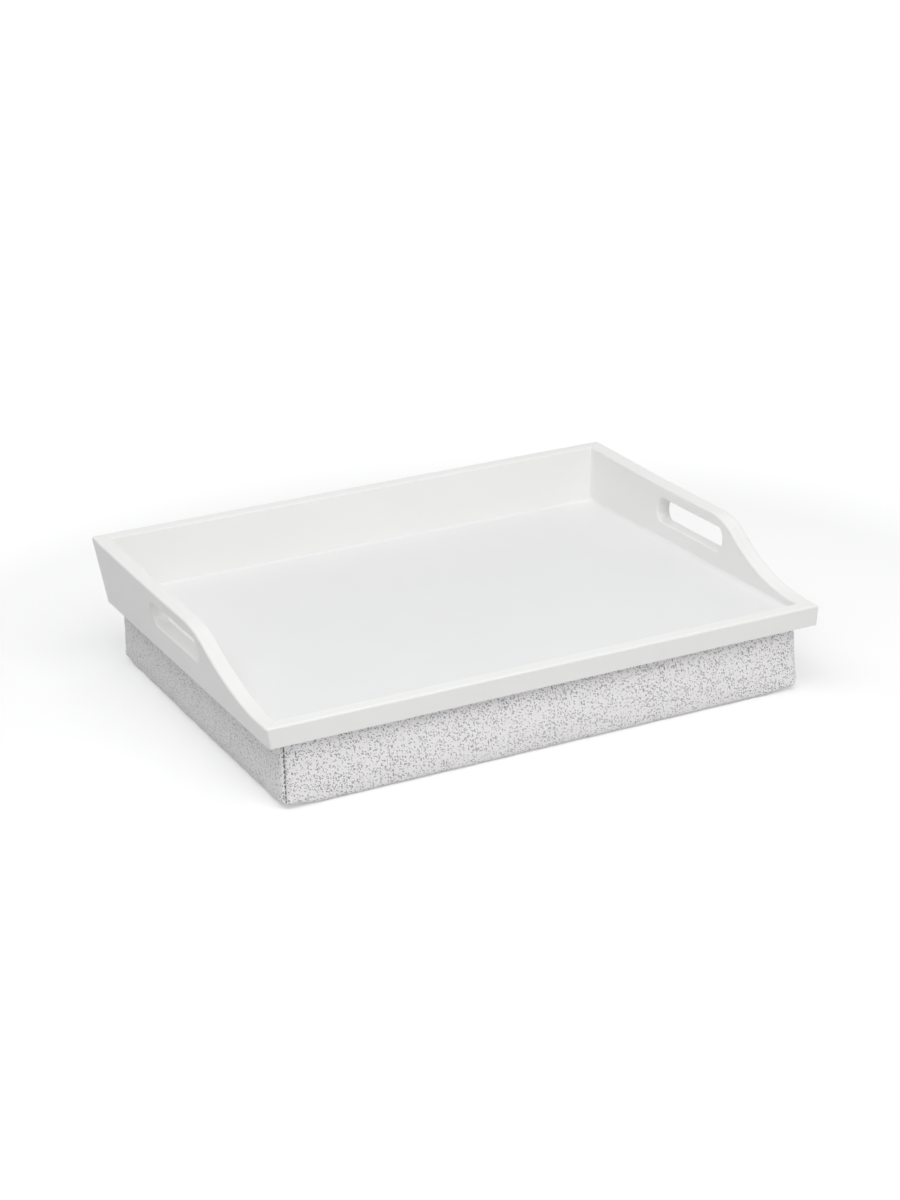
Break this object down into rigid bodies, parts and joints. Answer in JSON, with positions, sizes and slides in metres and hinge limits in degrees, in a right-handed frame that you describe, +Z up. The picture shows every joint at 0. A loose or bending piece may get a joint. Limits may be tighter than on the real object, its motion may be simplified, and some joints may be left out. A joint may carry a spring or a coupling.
{
  "type": "lap tray",
  "caption": "Painted wooden lap tray with flared walls, slotted handle sides that sweep down to a low front rail, and a boxy padded fabric cushion underneath.",
  "frame": {"origin": "on the surface that the cushion stands on, under the middle of the tray's outline", "axes": "+X across the tray, its longest way, towards the right handle wall; +Y from the low front rail to the high back wall; +Z up"},
  "size_m": [0.4444, 0.3429, 0.104],
  "materials": {
    "painted_wood": "soft-white satin paint",
    "brads": "bright wire",
    "hook_tape": "fine nylon hooks",
    "cover_fabric": "heathered plain weave",
    "seam_thread": "sewing thread",
    "liner": "thin plain cloth",
    "fill": "loose soft fill",
    "loop_tape": "brushed nylon loops"
  },
  "bodies": {
    "cushion": {"cushion_cover": "cover_fabric", "cushion_top_panel": "cover_fabric", "seam_thread_front_left": "seam_thread", "seam_thread_front_right": "seam_thread", "seam_thread_back_left": "seam_thread", "seam_thread_back_right": "seam_thread", "seam_thread_top": "seam_thread", "inner_bag": "liner", "cushion_fill": "fill", "loop_patch_front_left": "loop_tape", "loop_patch_front_right": "loop_tape", "loop_patch_back_left": "loop_tape", "loop_patch_back_right": "loop_tape"},
    "tray": {"base_panel": "painted_wood", "back_wall": "painted_wood", "front_wall": "painted_wood", "left_handle_wall": "painted_wood", "right_handle_wall": "painted_wood", "brads_front_left": "brads", "brads_front_right": "brads", "brads_back_left": "brads", "brads_back_right": "brads", "hook_patch_front_left": "hook_tape", "hook_patch_front_right": "hook_tape", "hook_patch_back_left": "hook_tape", "hook_patch_back_right": "hook_tape"}
  },
  "joints": [
    {"name": "tray_lift", "type": "slide", "parent": "cushion", "child": "tray", "axis": [0, 0, 1], "range_m": [0, 0.12]}
  ]
}
